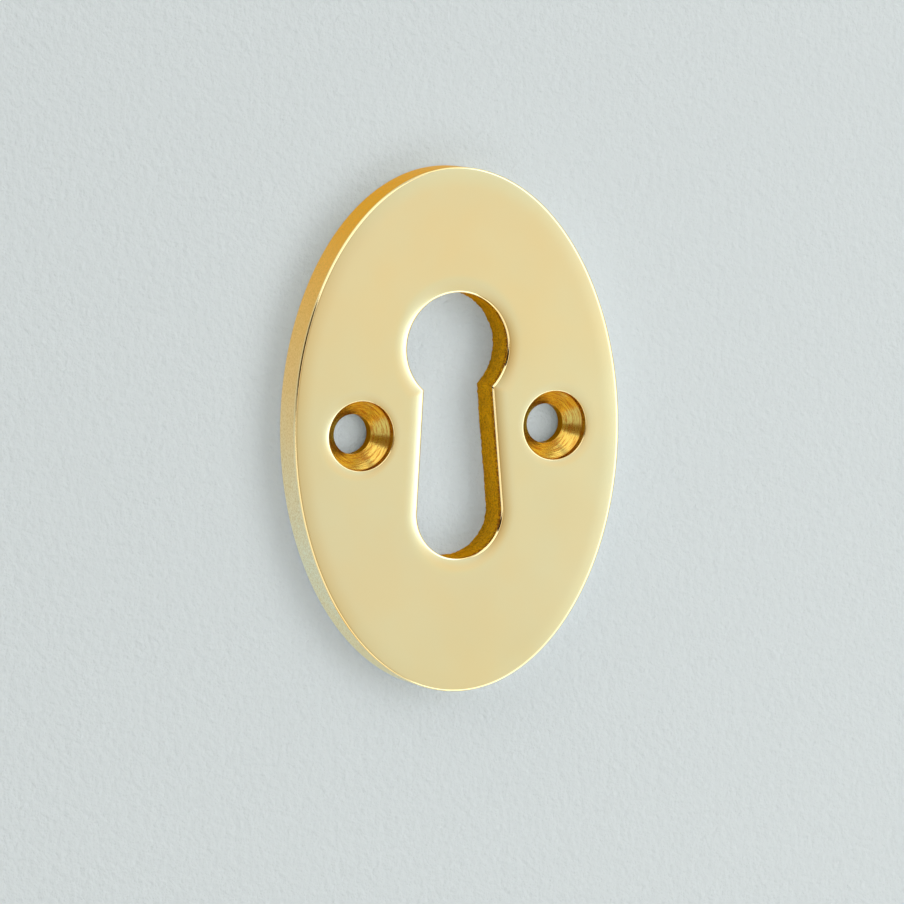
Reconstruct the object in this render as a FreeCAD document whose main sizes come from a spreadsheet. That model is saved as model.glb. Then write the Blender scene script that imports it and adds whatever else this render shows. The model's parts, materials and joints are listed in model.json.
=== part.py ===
import FreeCAD, Part
import math
import os
import Sketcher

# Keyhole escutcheon: one cast and machined brass plate for a cabinet door or drawer front.
# The plate stands upright, as it does on the door: +X right, +Z up, front face towards -Y.
# The back face lies on Y = 0 and the origin is midway between the two screw holes.
# All sizes are in millimetres.

SIZES = [
    ("plate_height", 50.0, "long axis of the oval"),
    ("plate_width", 33.8, "short axis of the oval"),
    ("plate_thickness", 3.7, "back face to front face"),
    ("key_head_diameter", 10.5, "round head of the keyhole, for the shank of the key"),
    ("key_head_rise", 7.9, "centre of the head above the middle of the plate"),
    ("key_neck_width", 7.1, "width where the slot leaves the head"),
    ("key_foot_diameter", 8.8, "round foot of the slot, for the tip of the bit"),
    ("key_foot_drop", 7.85, "centre of the foot below the middle of the plate"),
    ("screw_spacing", 20.1, "between the two screw holes"),
    ("screw_hole_diameter", 3.8, "clears the shank of a 3.5 mm wood screw"),
    ("screw_head_diameter", 6.6, "sinking for the head of the screw"),
    ("screw_head_wall", 0.9, "straight wall at the mouth of the sinking"),
    ("screw_head_angle", 90.0, "full angle of the sinking, in degrees"),
    ("front_edge_chamfer", 0.2, "broken front edge of the oval"),
    ("back_edge_chamfer", 0.15, "broken back edge of the oval"),
    ("key_edge_radius", 0.35, "polished front edge of the keyhole"),
    ("screw_edge_radius", 0.15, "polished front edge of each sinking"),
]

# Two points closer than this are the same point, in mm
CLOSE = 0.001

# A cut that takes less metal than this has missed, in mm3
LEAST_CUT = 0.01


def make_sheet(doc):
    """The sheet of driving sizes, one row for each, with its alias as its name."""
    sheet = doc.addObject("Spreadsheet::Sheet", "Sizes")
    for row, (alias, value, note) in enumerate(SIZES, start=1):
        sheet.set(f"A{row}", alias)
        sheet.set(f"B{row}", str(value))
        sheet.set(f"C{row}", note)
        sheet.setAlias(f"B{row}", alias)
    doc.recompute()
    return sheet


def new_sketch(body, name):
    """An empty sketch on the plane of the back face: its x is X, its y is Z and its normal is -Y."""
    planes = {item.Role: item for item in body.Origin.OriginFeatures}
    sketch = body.newObject("Sketcher::SketchObject", name)
    sketch.AttachmentSupport = [(planes["XZ_Plane"], "")]
    sketch.MapMode = "FlatFace"
    return sketch


def bind(sketch, index, name, alias):
    """Name a sketch dimension and tie it to its cell in the sheet."""
    sketch.renameConstraint(index, name)
    sketch.setExpression(f"Constraints.{name}", f"Sizes.{alias}")


def draw_oval(sketch, sheet):
    """The plate's outline: an upright ellipse, held by its two axes."""
    tall = FreeCAD.Vector(0, sheet.plate_height / 2, 0)
    wide = FreeCAD.Vector(sheet.plate_width / 2, 0, 0)
    middle = FreeCAD.Vector(0, 0, 0)
    oval = sketch.addGeometry(Part.Ellipse(tall, wide, middle), False)
    long_axis = sketch.addGeometry(Part.LineSegment(-tall, tall), True)
    short_axis = sketch.addGeometry(Part.LineSegment(-wide, wide), True)
    sketch.addConstraint(
        [
            Sketcher.Constraint("InternalAlignment:EllipseMajorDiameter", long_axis, oval),
            Sketcher.Constraint("InternalAlignment:EllipseMinorDiameter", short_axis, oval),
            Sketcher.Constraint("Coincident", oval, 3, -1, 1),
            Sketcher.Constraint("Vertical", long_axis),
        ]
    )
    height = sketch.addConstraint(Sketcher.Constraint("Distance", long_axis, sheet.plate_height))
    width = sketch.addConstraint(Sketcher.Constraint("Distance", short_axis, sheet.plate_width))
    bind(sketch, height, "height", "plate_height")
    bind(sketch, width, "width", "plate_width")


def draw_keyhole(sketch, sheet):
    """The keyhole: a round head, a neck with two crisp corners, and sides that flare to a round foot."""
    head_radius = sheet.key_head_diameter / 2
    foot_radius = sheet.key_foot_diameter / 2
    half_neck = sheet.key_neck_width / 2
    head_centre = FreeCAD.Vector(0, sheet.key_head_rise, 0)
    foot_centre = FreeCAD.Vector(0, -sheet.key_foot_drop, 0)
    normal = FreeCAD.Vector(0, 0, 1)
    corner_angle = math.acos(half_neck / head_radius)
    neck_drop = head_radius * math.sin(corner_angle)
    left_neck = FreeCAD.Vector(-half_neck, sheet.key_head_rise - neck_drop, 0)
    right_neck = FreeCAD.Vector(half_neck, sheet.key_head_rise - neck_drop, 0)
    left_foot = foot_centre - FreeCAD.Vector(foot_radius, 0, 0)
    right_foot = foot_centre + FreeCAD.Vector(foot_radius, 0, 0)

    head_circle = Part.Circle(head_centre, normal, head_radius)
    foot_circle = Part.Circle(foot_centre, normal, foot_radius)
    head = sketch.addGeometry(Part.ArcOfCircle(head_circle, -corner_angle, math.pi + corner_angle), False)
    foot = sketch.addGeometry(Part.ArcOfCircle(foot_circle, math.pi, 2 * math.pi), False)
    left = sketch.addGeometry(Part.LineSegment(left_neck, left_foot), False)
    right = sketch.addGeometry(Part.LineSegment(right_foot, right_neck), False)
    sketch.addConstraint(
        [
            Sketcher.Constraint("Coincident", head, 2, left, 1),
            Sketcher.Constraint("Tangent", left, 2, foot, 1),
            Sketcher.Constraint("Tangent", foot, 2, right, 1),
            Sketcher.Constraint("Coincident", right, 2, head, 1),
            Sketcher.Constraint("PointOnObject", head, 3, -2),
            Sketcher.Constraint("PointOnObject", foot, 3, -2),
            Sketcher.Constraint("Horizontal", head, 1, head, 2),
        ]
    )
    dimensions = [
        ("head", "key_head_diameter", Sketcher.Constraint("Diameter", head, 2 * head_radius)),
        ("foot", "key_foot_diameter", Sketcher.Constraint("Diameter", foot, 2 * foot_radius)),
        ("neck", "key_neck_width", Sketcher.Constraint("DistanceX", head, 2, head, 1, 2 * half_neck)),
        ("rise", "key_head_rise", Sketcher.Constraint("DistanceY", -1, 1, head, 3, sheet.key_head_rise)),
        ("drop", "key_foot_drop", Sketcher.Constraint("DistanceY", foot, 3, -1, 1, sheet.key_foot_drop)),
    ]
    for name, alias, constraint in dimensions:
        bind(sketch, sketch.addConstraint(constraint), name, alias)


def draw_screw_centres(sketch, sheet):
    """Two circles level with the middle of the plate, one each side of it, drawn on the front face."""
    sketch.setExpression("AttachmentOffset.Base.z", "Sizes.plate_thickness")
    normal = FreeCAD.Vector(0, 0, 1)
    radius = sheet.screw_hole_diameter / 2
    left_centre = FreeCAD.Vector(-sheet.screw_spacing / 2, 0, 0)
    left = sketch.addGeometry(Part.Circle(left_centre, normal, radius), False)
    right = sketch.addGeometry(Part.Circle(-left_centre, normal, radius), False)
    sketch.addConstraint(
        [
            Sketcher.Constraint("PointOnObject", left, 3, -1),
            Sketcher.Constraint("Symmetric", left, 3, right, 3, -1, 1),
            Sketcher.Constraint("Equal", left, right),
        ]
    )
    spacing = sketch.addConstraint(
        Sketcher.Constraint("DistanceX", left, 3, right, 3, sheet.screw_spacing)
    )
    diameter = sketch.addConstraint(Sketcher.Constraint("Diameter", left, 2 * radius))
    bind(sketch, spacing, "spacing", "screw_spacing")
    bind(sketch, diameter, "diameter", "screw_hole_diameter")


def must_cut(feature, volume_before):
    """Stop when a cut removed nothing, because it pointed away from the metal."""
    removed = volume_before - feature.Shape.Volume
    if removed < LEAST_CUT:
        raise RuntimeError(f"{feature.Name} removed no metal")
    print(f"{feature.Label} removes {removed:.1f} mm3")


def make_plate(doc, sheet):
    """The plate: an oval pad with the keyhole cut through it, two sunk screw holes and finished edges."""
    body = doc.addObject("PartDesign::Body", "EscutcheonPlate")
    body.Label = "escutcheon_plate"

    oval = new_sketch(body, "OvalOutline")
    draw_oval(oval, sheet)
    blank = body.newObject("PartDesign::Pad", "Blank")
    blank.Profile = oval
    blank.setExpression("Length", "Sizes.plate_thickness")
    doc.recompute()

    outline = new_sketch(body, "KeyholeOutline")
    draw_keyhole(outline, sheet)
    keyhole = body.newObject("PartDesign::Pocket", "Keyhole")
    keyhole.Profile = outline
    keyhole.Type = "ThroughAll"
    keyhole.Reversed = True
    doc.recompute()
    must_cut(keyhole, blank.Shape.Volume)

    centres = new_sketch(body, "ScrewCentres")
    draw_screw_centres(centres, sheet)
    doc.recompute()
    screw_holes = body.newObject("PartDesign::Hole", "ScrewHoles")
    screw_holes.Profile = centres
    doc.recompute()
    drill_screw_holes(screw_holes)
    doc.recompute()
    must_cut(screw_holes, keyhole.Shape.Volume)

    finish_edges(doc, body, screw_holes, sheet)
    body.Placement = FreeCAD.Placement()
    return body


def drill_screw_holes(hole):
    """A clearance hole right through, sunk from the front with a short wall and then a cone."""
    hole.DepthType = "ThroughAll"
    hole.HoleCutType = "Counterdrill"
    hole.HoleCutCustomValues = True
    hole.setExpression("Diameter", "Sizes.screw_hole_diameter")
    hole.setExpression("HoleCutDiameter", "Sizes.screw_head_diameter")
    hole.setExpression("HoleCutDepth", "Sizes.screw_head_wall")
    hole.setExpression("HoleCutCountersinkAngle", "Sizes.screw_head_angle")


def level_edges(shape, level):
    """The names and edges that lie all along in one plane parallel to the back face."""
    found = []
    for number, edge in enumerate(shape.Edges, start=1):
        box = edge.BoundBox
        if abs(box.YMin - level) < CLOSE and abs(box.YMax - level) < CLOSE:
            found.append((f"Edge{number}", edge))
    return found


def is_oval(edge):
    """The outline of the plate is the only ellipse."""
    return isinstance(edge.Curve, Part.Ellipse)


def is_keyhole(edge):
    """The keyhole has two straight sides, and two arcs centred on the plate's upright middle line."""
    if isinstance(edge.Curve, Part.Circle):
        return abs(edge.Curve.Center.x) < CLOSE
    return isinstance(edge.Curve, Part.Line)


def is_screw_rim(edge):
    """The mouth of a sinking is a circle to one side of the middle line."""
    return isinstance(edge.Curve, Part.Circle) and abs(edge.Curve.Center.x) > CLOSE


def finish_edges(doc, body, base, sheet):
    """Break the two edges of the oval, and round the mouths of the keyhole and sinkings as polishing does."""
    front = -sheet.plate_thickness
    back = 0
    steps = [
        ("FrontEdge", "PartDesign::Chamfer", "Size", "front_edge_chamfer", front, is_oval),
        ("BackEdge", "PartDesign::Chamfer", "Size", "back_edge_chamfer", back, is_oval),
        ("KeyholeEdge", "PartDesign::Fillet", "Radius", "key_edge_radius", front, is_keyhole),
        ("ScrewRims", "PartDesign::Fillet", "Radius", "screw_edge_radius", front, is_screw_rim),
    ]
    for name, kind, measure, alias, level, belongs in steps:
        names = [edge_name for edge_name, edge in level_edges(base.Shape, level) if belongs(edge)]
        if not names:
            raise RuntimeError(f"{name} found no edge")
        finished = body.newObject(kind, name)
        finished.Base = (base, names)
        finished.setExpression(measure, f"Sizes.{alias}")
        doc.recompute()
        must_cut(finished, base.Shape.Volume)
        base = finished


def check(doc, bodies):
    """Stop before anything is written if a feature failed or a shape isn't one sound solid."""
    for item in doc.Objects:
        if "Invalid" in item.State or "Error" in item.State:
            raise RuntimeError(f"{item.Name} failed: {item.State}")
        if item.TypeId == "Sketcher::SketchObject" and not item.FullyConstrained:
            raise RuntimeError(f"{item.Name} isn't fully constrained")
    for body in bodies:
        shape = body.Shape
        if shape.isNull() or not shape.isValid() or len(shape.Solids) != 1:
            raise RuntimeError(f"{body.Label} isn't one sound solid")


def write(bodies):
    """Write each sub-part to a file of its own name, and print its size and volume."""
    os.makedirs("parts", exist_ok=True)
    for body in bodies:
        body.Shape.exportStep(f"parts/{body.Label}.step")
        box = body.Shape.optimalBoundingBox(True, False)
        print(f"{body.Label}: {box.XLength:.2f} x {box.YLength:.2f} x {box.ZLength:.2f} mm,", end=" ")
        print(f"{body.Shape.Volume:.1f} mm3")


document = FreeCAD.newDocument("KeyholeEscutcheon")
sizes = make_sheet(document)
plate = make_plate(document, sizes)
document.recompute()
check(document, [plate])
write([plate])
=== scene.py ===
# %% [markdown]
# # A keyhole escutcheon in polished brass
#
# An escutcheon is the small plate that frames a keyhole on a cabinet door or a drawer front.
# This one is a single piece of brass: an oval plate, a keyhole and two sunk screw holes.
# Nothing on it moves, so the whole lesson is about one shape and its five finishes.
#
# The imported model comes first. It fixes the frame: the back of the plate lies on Y = 0, the
# front looks towards -Y, and +Z is up. Everything below is fitted to that box.

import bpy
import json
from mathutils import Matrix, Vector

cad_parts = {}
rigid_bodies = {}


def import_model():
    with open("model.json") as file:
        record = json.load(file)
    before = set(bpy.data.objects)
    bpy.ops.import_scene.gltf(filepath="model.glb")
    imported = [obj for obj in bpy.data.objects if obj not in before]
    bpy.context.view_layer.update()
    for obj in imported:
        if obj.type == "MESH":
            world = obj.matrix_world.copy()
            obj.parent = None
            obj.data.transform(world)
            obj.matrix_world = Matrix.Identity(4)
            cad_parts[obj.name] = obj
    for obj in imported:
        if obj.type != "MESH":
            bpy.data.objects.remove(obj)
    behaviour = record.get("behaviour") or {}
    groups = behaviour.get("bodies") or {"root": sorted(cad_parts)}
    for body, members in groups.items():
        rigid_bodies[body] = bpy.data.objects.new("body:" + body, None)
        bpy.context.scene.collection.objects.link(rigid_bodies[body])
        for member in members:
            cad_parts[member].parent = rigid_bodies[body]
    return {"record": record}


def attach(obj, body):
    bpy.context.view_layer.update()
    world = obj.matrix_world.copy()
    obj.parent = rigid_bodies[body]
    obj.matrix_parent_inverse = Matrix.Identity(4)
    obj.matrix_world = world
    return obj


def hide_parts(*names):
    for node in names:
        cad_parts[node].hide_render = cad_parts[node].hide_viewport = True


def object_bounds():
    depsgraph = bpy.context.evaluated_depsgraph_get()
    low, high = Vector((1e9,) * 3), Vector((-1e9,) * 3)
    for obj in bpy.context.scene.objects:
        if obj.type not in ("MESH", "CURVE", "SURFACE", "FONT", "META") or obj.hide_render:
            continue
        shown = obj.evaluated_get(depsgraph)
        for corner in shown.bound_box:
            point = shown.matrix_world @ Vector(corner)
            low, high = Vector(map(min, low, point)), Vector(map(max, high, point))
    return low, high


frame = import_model()
cad_low, cad_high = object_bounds()
print("model box, mm:", [round(side * 1000, 2) for side in cad_high - cad_low])

# %% Blender and the units
import json
import math
import random

import bmesh
import bpy
from mathutils import Matrix, Vector

MM = 0.001  # one millimetre, in Blender's metres
HAIR = 0.001 * MM  # two places closer than this are the same place

HALF_WIDTH = cad_high.x
HALF_HEIGHT = cad_high.z
FRONT = cad_low.y
BACK = cad_high.y
THICKNESS = BACK - FRONT
print(f"plate {2 * HALF_WIDTH / MM:.1f} x {2 * HALF_HEIGHT / MM:.1f} x {THICKNESS / MM:.1f} mm")

# %% [markdown]
# ## Where the holes are
#
# The two screw holes are the plate's mount, so their spacing and radius are read from the
# record. The keyhole is a round head and a slot that flares to a round foot: two centres, two
# radii and the width of the neck say all of it.

# %% Sizes of the holes
screw_mount = next(m for m in frame["record"]["mounts"] if m["kind"] == "bolt_pattern")
SCREW_X = screw_mount["dims"]["spacing_x_mm"] / 2 * MM
SCREW_RADIUS = screw_mount["dims"]["hole_r_mm"] * MM
SINK_RADIUS = 3.3 * MM
SINK_WALL = 0.9 * MM
CONE_DEPTH = SINK_RADIUS - SCREW_RADIUS

HEAD_Z = 7.9 * MM
HEAD_RADIUS = 5.25 * MM
HALF_NECK = 3.55 * MM
FOOT_Z = -7.85 * MM
FOOT_RADIUS = 4.4 * MM
print(f"screw holes at x = {SCREW_X / MM:.2f} mm, radius {SCREW_RADIUS / MM:.2f} mm")

# %% [markdown]
# ## How a polished edge is shaped
#
# A buffing wheel never leaves a face flat right up to its edge. The face leans over a little
# more and more as it nears a hole, over a millimetre or two, and only then turns the corner in
# a small round. That slow roll shows as a glow on one side of a hole and as a tan shade on the
# other, because it tips the mirror of the face. A bump map can't do this well: it takes real
# geometry. The keyhole was buffed the most, the oval's own edge the least.
#
# So every edge here follows the same short list of stations. Each is a distance from the wall
# and a depth below the face: flat field, roll, corner, wall. The corner is part of an ellipse.
# At the keyhole it stops at 43 degrees, in a crease, because the wheel never reached the cast
# wall below. The wheel also dragged outwards over the two screw holes, so their roll is tipped
# and shifted: wide and deep on the side away from the keyhole, narrow and shallow on the other.

# %% The stations of a polished edge
FLAT_RINGS = 2
FLAT_STEP = 0.06 * MM
ROLL_STEPS = 12
ROUND_STEPS = 8


def polished_edge(width, lean, across, down, last=90.0):
    """(distance from the wall, depth below the face), from the flat field to the top of the wall.

    The corner is the part of an ellipse that ends at the angle last, in degrees.
    """
    flat = [(width + FLAT_STEP * ring, 0.0) for ring in range(FLAT_RINGS, 0, -1)]
    tilt = math.radians(lean)
    first = math.atan(math.tan(tilt) * across / down)
    last = math.radians(last)
    start = across * (math.sin(last) - math.sin(first))
    drop = math.tan(tilt) * (width - start) / 2
    roll = []
    for step in range(ROLL_STEPS + 1):
        done = step / ROLL_STEPS
        roll.append((width + (start - width) * done, drop * done**2))
    corner = []
    for step in range(1, ROUND_STEPS + 1):
        angle = first + (last - first) * step / ROUND_STEPS
        depth = drop + down * (math.cos(first) - math.cos(angle))
        corner.append((across * (math.sin(last) - math.sin(angle)), depth))
    return flat + roll + corner


SINK_ROUND = 0.08 * MM
OVAL_EDGE = polished_edge(1.9 * MM, 2.4, 0.24 * MM, 0.17 * MM)
KEY_EDGE = polished_edge(1.8 * MM, 7.0, 0.36 * MM, 0.32 * MM, 43.0)
LEFT_SINK_EDGE = polished_edge(1.05 * MM, 6.0, SINK_ROUND, SINK_ROUND)
RIGHT_SINK_EDGE = polished_edge(0.9 * MM, 5.0, SINK_ROUND, SINK_ROUND)
LEFT_DRAG, RIGHT_DRAG = 0.56, -0.53
print("stations in each edge:", len(KEY_EDGE))

# %% Helpers for working by hand
def start_piece(name):
    """An empty mesh object at the origin, open in edit mode, with nothing else selected."""
    bpy.ops.object.select_all(action="DESELECT")
    bpy.ops.object.add(type="MESH", enter_editmode=True, location=(0, 0, 0))
    bpy.context.tool_settings.mesh_select_mode = (True, False, False)
    bpy.context.object.name = name
    return bpy.context.object


def pick_points(piece, wanted):
    """In edit mode, select the points for which wanted(point) is true, and no others."""
    mesh = bmesh.from_edit_mesh(piece.data)
    for face in mesh.faces:
        face.select = False
    for edge in mesh.edges:
        edge.select = False
    for point in mesh.verts:
        point.select = bool(wanted(point))
    mesh.select_flush_mode()
    bmesh.update_edit_mesh(piece.data)


def start_point(place):
    """A single point, made by merging a small circle at its centre."""
    bpy.ops.mesh.primitive_circle_add(vertices=3, radius=MM, location=place)
    bpy.ops.mesh.merge(type="CENTER")


def start_circle(steps, radius, x, y, fill="NOTHING"):
    """A circle that stands upright and faces along Y."""
    bpy.ops.mesh.primitive_circle_add(
        vertices=steps,
        radius=radius,
        fill_type=fill,
        location=(x, y, 0),
        rotation=(math.pi / 2, 0, 0),
    )


def pull_ring(step_y, scale, centre):
    """Extrude the selected ring along Y, then scale the new ring about a centre."""
    bpy.ops.mesh.extrude_edges_move(TRANSFORM_OT_translate={"value": (0, step_y, 0)})
    bpy.ops.transform.resize(value=scale, center_override=centre)


def close_piece(piece):
    """Smooth shading, back to object mode, and say what was made."""
    bpy.ops.mesh.select_all(action="SELECT")
    bpy.ops.mesh.faces_shade_smooth()
    bpy.ops.object.mode_set(mode="OBJECT")
    print(f"{piece.name}: {len(piece.data.vertices)} points, {len(piece.data.polygons)} faces")


# %% [markdown]
# ## The oval rim
#
# On the real plate the outline was cut or cast, then linished on a belt, and its front edge
# broken with a light touch. Here a circle is scaled to the oval and extruded from station to
# station: over the polished edge, down the satin wall and round the broken back edge. A curve
# with a bevel would be quicker, but extruding keeps the same points in every ring, so the
# reflections run evenly round the plate.

# %% Draw the oval rim
OVAL_STEPS = 288
BACK_BREAK = 0.15 * MM
BACK_LAND = 1.2 * MM
SIDE_RINGS = 8


def oval_stations():
    """(inset from the outline, y), from the front field, over the edge and wall, to the back."""
    stations = [(away, FRONT + depth) for away, depth in OVAL_EDGE]
    top = stations[-1][1]
    foot = BACK - BACK_BREAK
    for ring in range(1, SIDE_RINGS + 1):
        stations.append((0.0, top + (foot - top) * ring / SIDE_RINGS))
    return stations + [(BACK_BREAK, BACK), (BACK_LAND, BACK)]


def draw_oval_rim():
    """One circle, scaled to the oval and pulled through all the stations."""
    rim = start_piece("oval_rim")
    stations = oval_stations()
    inset, y = stations[0]
    start_circle(OVAL_STEPS, HALF_HEIGHT - inset, 0, y)
    narrow = (HALF_WIDTH - inset) / (HALF_HEIGHT - inset)
    bpy.ops.transform.resize(value=(narrow, 1, 1), center_override=(0, y, 0))
    for new_inset, new_y in stations[1:]:
        wide = (HALF_WIDTH - new_inset) / (HALF_WIDTH - inset)
        tall = (HALF_HEIGHT - new_inset) / (HALF_HEIGHT - inset)
        pull_ring(new_y - y, (wide, 1, tall), (0, new_y, 0))
        inset, y = new_inset, new_y
    close_piece(rim)
    return rim


oval_rim = draw_oval_rim()

# %% [markdown]
# ## The keyhole's outline
#
# The outline is drawn in four strokes, as with a compass and a rule: a spin over the round
# head, a straight side, a spin round the foot and a straight side back. The straight sides are
# then subdivided. Drawn again for each station of the edge with a little more growth, the same
# strokes give rings that stay parallel and meet in a crisp corner at the neck. An inset from
# one ring would be shorter to write, but it turns the last bit of the head's arc straight.

# %% The keyhole at any growth
NECK_Z = HEAD_Z - math.sqrt(HEAD_RADIUS**2 - HALF_NECK**2)
NECK_TO_FOOT = math.hypot(HALF_NECK, NECK_Z - FOOT_Z)
SIDE_LEAN = math.atan2(NECK_Z - FOOT_Z, HALF_NECK) - math.acos(FOOT_RADIUS / NECK_TO_FOOT)


def neck_angle(grow):
    """The angle, seen from the head's centre, at which the right side meets the head's circle."""
    to_side = FOOT_RADIUS + grow - math.sin(SIDE_LEAN) * (HEAD_Z - FOOT_Z)
    return SIDE_LEAN - math.acos(to_side / (HEAD_RADIUS + grow))


def on_circle(centre_z, radius, angle, y):
    """A point on a circle round the plate's upright middle line."""
    return Vector((radius * math.cos(angle), y, centre_z + radius * math.sin(angle)))


print(f"the sides lean by {math.degrees(SIDE_LEAN):.2f} degrees")

# %% Draw one ring of the keyhole
HEAD_STEPS = 132
SIDE_STEPS = 44
FOOT_STEPS = 64
UNCUT_SIDE = 4 * MM  # an edge longer than this is a side that isn't subdivided yet


def draw_keyhole_ring(piece, name, grow, y):
    """Four strokes from the right corner of the neck and back to it, kept as a named ring."""
    neck = neck_angle(grow)
    head, foot = HEAD_RADIUS + grow, FOOT_RADIUS + grow
    right_corner = on_circle(HEAD_Z, head, neck, y)
    left_corner = on_circle(HEAD_Z, head, math.pi - neck, y)
    left_foot = on_circle(FOOT_Z, foot, math.pi - SIDE_LEAN, y)
    bpy.ops.mesh.select_all(action="DESELECT")
    start_point(right_corner)
    bpy.ops.mesh.spin(
        steps=HEAD_STEPS, angle=math.pi - 2 * neck, center=(0, y, HEAD_Z), axis=(0, 1, 0)
    )
    bpy.ops.mesh.extrude_vertices_move(TRANSFORM_OT_translate={"value": left_foot - left_corner})
    bpy.ops.mesh.spin(
        steps=FOOT_STEPS, angle=math.pi + 2 * SIDE_LEAN, center=(0, y, FOOT_Z), axis=(0, 1, 0)
    )
    pick_points(piece, lambda point: len(point.link_edges) == 1)
    bpy.ops.mesh.edge_face_add()
    pick_points(piece, lambda point: any(e.calc_length() > UNCUT_SIDE for e in point.link_edges))
    bpy.ops.mesh.subdivide(number_cuts=SIDE_STEPS - 1)
    bpy.ops.mesh.select_linked()
    group = piece.vertex_groups.new(name=name)
    piece.vertex_groups.active_index = group.index
    bpy.ops.object.vertex_group_assign()


def pick_rings(piece, *names):
    """Select the named rings and nothing else."""
    bpy.ops.mesh.select_all(action="DESELECT")
    for name in names:
        piece.vertex_groups.active_index = piece.vertex_groups[name].index
        bpy.ops.object.vertex_group_select()


# %% [markdown]
# ## The keyhole's lining
#
# The keyhole came with the casting. Its wall was never machined, so it is grainy and a little
# ragged at the back, and only its front edge was buffed. The polished part is bridged from
# ring to ring. Bridging can't tell which way round two rings in one plane go, so the flat ones
# are drawn a little in front and pressed flat afterwards. The wall below is straight, so its
# last ring is simply extruded to the back in many short steps, which gives the grain enough
# points: each is then pushed in or out by a few hundredths of a millimetre. The same seed
# gives the same grain on every run.

# %% Draw the keyhole lining
KEY_WALL_RINGS = 26
CAST_GRAIN = 0.022 * MM
CAST_SEED = 7
RAGGED_BACK = 0.05 * MM
FLAT_LIFT = 0.1 * MM


def draw_keyhole_lining():
    """The polished edge by bridged rings, then the cast wall by extrusion."""
    lining = start_piece("keyhole_lining")
    names = []
    for number, (away, depth) in enumerate(KEY_EDGE):
        names.append(f"ring_{number:02d}")
        lift = max(FLAT_RINGS - number, 0) * FLAT_LIFT
        draw_keyhole_ring(lining, names[-1], away, FRONT + depth - lift)
    for upper, lower in zip(names, names[1:]):
        pick_rings(lining, upper, lower)
        bpy.ops.mesh.bridge_edge_loops()
    pick_points(lining, lambda point: point.co.y < FRONT)
    bpy.ops.transform.resize(value=(1, 0, 1), center_override=(0, FRONT, 0))
    pick_rings(lining, names[-1])
    top = FRONT + KEY_EDGE[-1][1]
    step = (BACK - top) / KEY_WALL_RINGS
    for _ in range(KEY_WALL_RINGS):
        bpy.ops.mesh.extrude_edges_move(TRANSFORM_OT_translate={"value": (0, step, 0)})
    below = top + step / 2
    pick_points(lining, lambda point: point.co.y > below)
    bpy.ops.transform.vertex_random(offset=CAST_GRAIN, uniform=0.0, normal=1.0, seed=CAST_SEED)
    pick_points(lining, lambda point: point.is_boundary and point.co.y > BACK - step / 2)
    bpy.ops.transform.vertex_random(offset=RAGGED_BACK, uniform=0.0, normal=1.0, seed=CAST_SEED)
    bpy.ops.transform.resize(value=(1, 0, 1), center_override=(0, BACK, 0))
    bpy.ops.object.vertex_group_remove(all=True)
    close_piece(lining)
    return lining


keyhole_lining = draw_keyhole_lining()

# %% [markdown]
# ## The screw sinkings
#
# The holes were drilled, then sunk with a turning cutter: a short straight wall, a cone for
# the screw head and a bored hole through the back. The cutter leaves rings that catch the
# light as bright arcs. Each sinking is turned here ring by ring, like a pot on a wheel, with
# the rings of the cone a few thousandths of a millimetre high or low. A boolean with a cone
# would cut the same hole, but its rings could not be set one by one. While the roll is made,
# each ring is also tipped and moved a little, and the corner ends level again. The back edge
# of the bore is broken, which lets a little more of the wall show through the hole.

# %% Turn the two sinkings
SINK_STEPS = 128
CONE_RINGS = 34
CUTTER_MARK = 0.002 * MM
CUTTER_SEED = 11
BORE_RINGS = 4
BORE_BREAK = 0.35 * MM
BORE_LAND = 0.7 * MM


def sinking_stations(edge):
    """(radius, y), from the flat field, over the edge, down the cone and out at the back."""
    chance = random.Random(CUTTER_SEED)
    stations = [(SINK_RADIUS + away, FRONT + depth) for away, depth in edge]
    stations.append((SINK_RADIUS, FRONT + SINK_WALL / 2))
    stations.append((SINK_RADIUS, FRONT + SINK_WALL))
    for ring in range(1, CONE_RINGS):
        down = CONE_DEPTH * ring / CONE_RINGS
        mark = chance.uniform(-CUTTER_MARK, CUTTER_MARK)
        stations.append((SINK_RADIUS - down + mark, FRONT + SINK_WALL + down + mark))
    bore_from, bore_to = FRONT + SINK_WALL + CONE_DEPTH, BACK - BORE_BREAK
    for ring in range(BORE_RINGS + 1):
        stations.append((SCREW_RADIUS, bore_from + (bore_to - bore_from) * ring / BORE_RINGS))
    return stations + [(SCREW_RADIUS + BORE_BREAK, BACK), (SCREW_RADIUS + BORE_LAND, BACK)]


def draw_sinking(name, x, edge, drag):
    """Pull a circle through all the stations; drag tips and shifts its roll, left if above 0."""
    sinking = start_piece(name)
    stations = sinking_stations(edge)
    radius, y = stations[0]
    shift = drag / 2 * (radius - SINK_RADIUS - SINK_ROUND)
    start_circle(SINK_STEPS, radius, x - shift, y)
    for number, (new_radius, new_y) in enumerate(stations[1:], start=1):
        scale = new_radius / radius
        pull_ring(new_y - y, (scale, 1, scale), (x - shift, new_y, 0))
        if number < len(edge) - ROUND_STEPS:
            new_shift = drag / 2 * max(new_radius - SINK_RADIUS - SINK_ROUND, 0.0)
            bpy.ops.transform.translate(value=(shift - new_shift, 0, 0))
            shift = new_shift
            tip = drag * (new_y - y) / new_radius
            bpy.ops.transform.rotate(
                value=tip, orient_axis="Z", center_override=(x - shift, new_y, 0)
            )
        elif number == len(edge):
            bpy.ops.transform.resize(value=(1, 0, 1), center_override=(x, new_y, 0))
        radius, y = new_radius, new_y
    close_piece(sinking)
    return sinking


left_sinking = draw_sinking("left_sinking", -SCREW_X, LEFT_SINK_EDGE, LEFT_DRAG)
right_sinking = draw_sinking("right_sinking", SCREW_X, RIGHT_SINK_EDGE, RIGHT_DRAG)

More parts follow.
